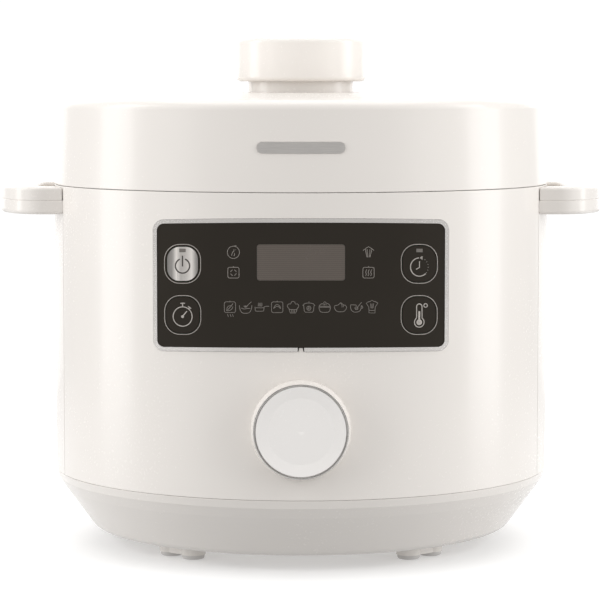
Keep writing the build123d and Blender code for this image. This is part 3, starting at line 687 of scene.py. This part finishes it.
def cook_hat():
    crown = [line((-1.6, -1.6), (-1.7, 0.1), (-3.0, 2.0), (-2.4, 2.6), (-1.0, 3.0), (0, 3.6), (1.0, 3.0),
                  (2.4, 2.6), (3.0, 2.0), (1.7, 0.1), (1.6, -1.6))]
    band = [line((-1.6, -1.5), (-1.6, -3.0), (1.6, -3.0), (1.6, -1.5)),
            curve((-1.6, -1.5), (0, -2.0), (1.6, -1.5))]
    return crown + band + [line((0.5 * x, 1.9), (0.3 * x, -0.6)) for x in (-1.6, 0, 1.6)]


PROGRAMMES = (pressure_pot, soup_bowl, frying_pan, roasting_box, sponge_cake, casserole, rice_bowl,
              stuffed_bun, mixing_bowl, cook_hat)
KEYS = {
    "power_key": ("power_button", power_symbol),
    "delay_key": ("delay_button", delay_symbol),
    "timer_key": ("timer_button", timer_symbol),
    "temperature_key": ("temperature_button", temperature_symbol),
}
LAMP_KEYS = ("power_key", "delay_key")


# ---- studio values ------------------------------------------------------------------------------------
LIGHT_AIM = (0, 0, 0.14)  # about the middle of the cooker
FLOOR_SOLID = 0.2  # radius within which the floor hasn't begun to fade
BACKDROP = 1.05  # brightness seen behind the cooker, just past white


# ---- operators ----------------------------------------------------------------------------------------
def slot_finishes(settings):
    """The finish of each material slot in the record."""
    return {
        "white_gloss": gloss_moulding("white_gloss_plastic", settings.shell),
        "white_soft": soft_rubber("white_pad_rubber", (0.62, 0.6, 0.58)),
        "panel_black": panel_gloss("dark_window", settings.window),
        "chrome_trim": plated_metal("plated_trim", settings.trim, 0.16, 0.75),
        "brushed_key": banded_metal("brushed_key_cap_painted_reflection", settings.key_metal),
        "lcd_glass": display_glass("display_glass", settings.display),
        "satin_silver": brushed_metal("satin_badge", settings.badge, (120, 120, 3000), 0.34),
        "steel": turned_metal("stainless_steel", (0.55, 0.54, 0.52)),
        "aluminium": turned_metal("spun_aluminium", (0.62, 0.62, 0.63), 0.34, 900, 0.03),
        "cast_aluminium": cast_metal("cast_aluminium", (0.42, 0.42, 0.43)),
        "element_steel": heated_steel("element_sheath", (0.24, 0.22, 0.2)),
        "spring_steel": brushed_metal("spring_wire", (0.36, 0.36, 0.37), (900, 900, 900)),
        "inner_white": satin_moulding("inner_white_plastic", (0.6, 0.59, 0.56)),
        "black_plastic": satin_moulding("satin_black_plastic", (0.028, 0.028, 0.03)),
        "board_green": printed_board("circuit_board", (0.012, 0.09, 0.035)),
        "winding": wound_wire("copper_winding", (0.33, 0.14, 0.05)),
        "wire": soft_rubber("wire_insulation", (0.38, 0.035, 0.025), 0.4),
        "silicone": soft_rubber("grey_silicone", (0.6, 0.59, 0.56), 0.5, 0.3),
        "brass_parts": brushed_metal("machined_brass", (0.62, 0.45, 0.2), (700, 700, 2400)),
        "smoke_plastic": frosted_plastic("frosted_cup", (0.8, 0.8, 0.79)),
        "red_plastic": gloss_moulding("red_indicator", (0.42, 0.02, 0.015)),
    }


class COOKER_OT_finishes(bpy.types.Operator):
    """Gives every CAD node the finish of its material slot"""
    bl_idname = "cooker.finishes"
    bl_label = "Finishes"

    def execute(self, context):
        settings = context.scene.cooker_finishes
        finishes = slot_finishes(settings)
        own = {"dial_cap": gloss_moulding("dial_cap_plastic", settings.dial_face),
               "dial_ring": plated_metal("dial_ring_plate", tinted(settings.trim, 0.5))}
        for part in frame["record"]["subparts"]:
            for place in frame["nodes"][part["node"]].material_slots:
                place.material = own.get(part["node"], finishes[part["material_slot"]])
        return {"FINISHED"}


class COOKER_OT_key_outlines(bpy.types.Operator):
    """Prints the line round each key on the window"""
    bl_idname = "cooker.key_outlines"
    bl_label = "Key outlines"

    def execute(self, context):
        sizes = context.scene.cooker_print
        ink = printed_ink("outline_ink", context.scene.cooker_finishes.outline_ink, 0.6)
        half_width, half_height = (side + sizes.outline_gap for side in panel_place("delay_key")[1])
        outline = rounded_box(half_width / MM, half_height / MM, sizes.outline_corner / MM, 8)
        for key in KEYS:
            (x, rise), _ = panel_place(key)
            piece = on_round_panel(drawn([closed(outline)], sizes.outline_line), x, rise, WINDOW_R)
            finished(piece, key + "_outline", "housing", ink)
        return {"FINISHED"}


class COOKER_OT_key_symbols(bpy.types.Operator):
    """Prints each key's symbol, and its lamp window where it has one"""
    bl_idname = "cooker.key_symbols"
    bl_label = "Key symbols"

    def execute(self, context):
        sizes = context.scene.cooker_print
        ink_colour = context.scene.cooker_finishes.outline_ink
        light = printed_ink("symbol_ink", tinted(ink_colour, 1.15), 0.4)
        dark = printed_ink("etched_symbol", (0.07, 0.06, 0.055), 0.5)
        lamp = printed_ink("lamp_window", (0.16, 0.145, 0.13), 0.1)
        for key, (body, symbol) in KEYS.items():
            (x, rise), _ = panel_place(key)
            ink, width = (dark, sizes.power_line) if key == "power_key" else (light, sizes.key_line)
            piece = on_round_panel(drawn(symbol(), width), x, rise, KEY_R)
            finished(piece, key + "_symbol", body, ink)
            if key in LAMP_KEYS:
                piece = on_round_panel(drawn(lamp_window(), sizes.lamp_line), x, rise, KEY_R)
                finished(piece, key + "_lamp", body, lamp)
        return {"FINISHED"}


class COOKER_OT_programme_row(bpy.types.Operator):
    """Prints the row of programme symbols under the display"""
    bl_idname = "cooker.programme_row"
    bl_label = "Programme row"

    def execute(self, context):
        sizes = context.scene.cooker_print
        ink = printed_ink("programme_ink", context.scene.cooker_finishes.symbol_ink)
        middle = (len(PROGRAMMES) - 1) / 2
        for i, symbol in enumerate(PROGRAMMES):
            x = (i - middle) * sizes.row_pitch
            piece = on_round_panel(drawn(symbol(), sizes.symbol_line), x, sizes.row_rise, WINDOW_R)
            finished(piece, symbol.__name__ + "_symbol", "housing", ink)
        return {"FINISHED"}


class COOKER_OT_side_symbols(bpy.types.Operator):
    """Prints the four status symbols beside the display"""
    bl_idname = "cooker.side_symbols"
    bl_label = "Side symbols"

    def execute(self, context):
        sizes = context.scene.cooker_print
        ink = printed_ink("status_ink", tinted(context.scene.cooker_finishes.symbol_ink, 1.3))
        (_, rise), (half_width, _) = panel_place("lcd_module")
        reach = half_width + sizes.side_reach
        placed = ((-1, 1, small_dial), (-1, -1, stirring_pot), (1, 1, steam_arrow), (1, -1, keep_warm_pot))
        for side, level, symbol in placed:
            place = (side * reach, rise + level * sizes.side_step)
            piece = on_round_panel(drawn(symbol(), sizes.symbol_line), *place, WINDOW_R)
            finished(piece, symbol.__name__ + "_symbol", "housing", ink)
        return {"FINISHED"}


def softbox(name, place, aim, size, power):
    """A rectangular light that faces a point."""
    data = bpy.data.lights.new(name, "AREA")
    data.shape = "RECTANGLE"
    data.size, data.size_y = size
    data.energy = power
    lamp = bpy.data.objects.new(name, data)
    bpy.context.collection.objects.link(lamp)
    lamp.location = place
    lamp.rotation_euler = (Vector(aim) - Vector(place)).to_track_quat("-Z", "Y").to_euler()
    return lamp


class COOKER_OT_studio(bpy.types.Operator):
    """Sets the camera, a plain pale floor and soft light"""
    bl_idname = "cooker.studio"
    bl_label = "Studio"

    def execute(self, context):
        studio = context.scene.cooker_studio
        self.camera(context, studio)
        self.floor(studio)
        self.light(context, studio)
        return {"FINISHED"}

    def camera(self, context, studio):
        data = bpy.data.cameras.new("camera")
        data.lens = studio.lens
        data.sensor_width = 36.0
        camera = bpy.data.objects.new("camera", data)
        context.collection.objects.link(camera)
        camera.location = (studio.aside, -studio.distance, studio.height)
        camera.rotation_euler = (pi / 2 - studio.tilt, 0, 0)
        context.scene.camera = camera

    def floor(self, studio):
        bpy.ops.object.select_all(action="DESELECT")
        bpy.ops.mesh.primitive_circle_add(vertices=64, radius=studio.floor_reach, fill_type="NGON")
        ground = bpy.context.object
        ground.name = "floor"
        finish = Finish("pale_floor")
        at = finish.node("TexCoord", output="Object")
        away = finish.node("VectorMath", {"operation": "LENGTH"}, {0: at}, output="Value")
        fade = finish.node("MapRange", {"interpolation_type": "SMOOTHSTEP"},
                           {"Value": away, "From Min": FLOOR_SOLID, "From Max": studio.floor_reach})
        grain = finish.noise(finish.place(), 3, 2)
        finish.wear({"Base Color": finish.between(grain, (0.8, 0.8, 0.8), (0.82, 0.82, 0.82)),
                     "Roughness": 0.7, "Emission Color": (1, 1, 1), "Emission Strength": studio.floor_glow,
                     "Alpha": 1 - fade})
        ground.data.materials.append(finish.material)
        ground.visible_diffuse = False

    def light(self, context, studio):
        for side in (-1, 1):
            softbox("side_softbox", (side * 1.3, 0.0, 0.45), LIGHT_AIM, (0.5, 1.3), studio.side_power)
            flank_place = (side * 1.15, -0.75, 0.5)
            flank = softbox("flank_softbox", flank_place, LIGHT_AIM, (0.5, 1.2), studio.flank_power)
            flank.visible_glossy = False
        softbox("top_softbox", (0, 0.1, 1.5), LIGHT_AIM, (1.6, 1.4), studio.top_power)
        softbox("back_softbox", (0, 2.2, 0.9), LIGHT_AIM, (4.0, 2.4), studio.back_power)
        world = bpy.data.worlds.new("studio")
        world.use_nodes = True
        tree = world.node_tree
        shine = tree.nodes["Background"]
        seen = Shade(tree, tree.nodes.new("ShaderNodeLightPath").outputs["Is Camera Ray"])
        plug(tree, (1.0, 0.995, 0.99), shine.inputs["Color"])
        plug(tree, studio.fill + (BACKDROP - studio.fill) * seen, shine.inputs["Strength"])
        context.scene.world = world
        context.scene.view_settings.view_transform = "Standard"


OPERATORS = (COOKER_OT_finishes, COOKER_OT_key_outlines, COOKER_OT_key_symbols, COOKER_OT_programme_row,
             COOKER_OT_side_symbols, COOKER_OT_studio)
SETTINGS = {
    "cooker_finishes": CookerFinishes,
    "cooker_print": CookerPanelPrint,
    "cooker_studio": CookerStudio,
}


class VIEW3D_PT_cooker(bpy.types.Panel):
    """Lists the cooker's settings and steps"""
    bl_label = "Pressure cooker"
    bl_space_type = "VIEW_3D"
    bl_region_type = "UI"
    bl_category = "Cooker"

    def draw(self, context):
        for name, group in SETTINGS.items():
            box = self.layout.box()
            for setting in group.__annotations__:
                box.prop(getattr(context.scene, name), setting)
        for operator in OPERATORS:
            self.layout.operator(operator.bl_idname)


CLASSES = (*SETTINGS.values(), *OPERATORS, VIEW3D_PT_cooker)


def register():
    for cls in CLASSES:
        bpy.utils.register_class(cls)
    for name, group in SETTINGS.items():
        setattr(bpy.types.Scene, name, PointerProperty(type=group))


def unregister():
    for name in SETTINGS:
        delattr(bpy.types.Scene, name)
    for cls in reversed(CLASSES):
        bpy.utils.unregister_class(cls)


def main():
    """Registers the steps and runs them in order."""
    register()
    for operator in OPERATORS:
        step = operator.bl_idname.partition(".")[2]
        getattr(bpy.ops.cooker, step)()
    bpy.context.view_layer.update()


if __name__ == "__main__":
    main()
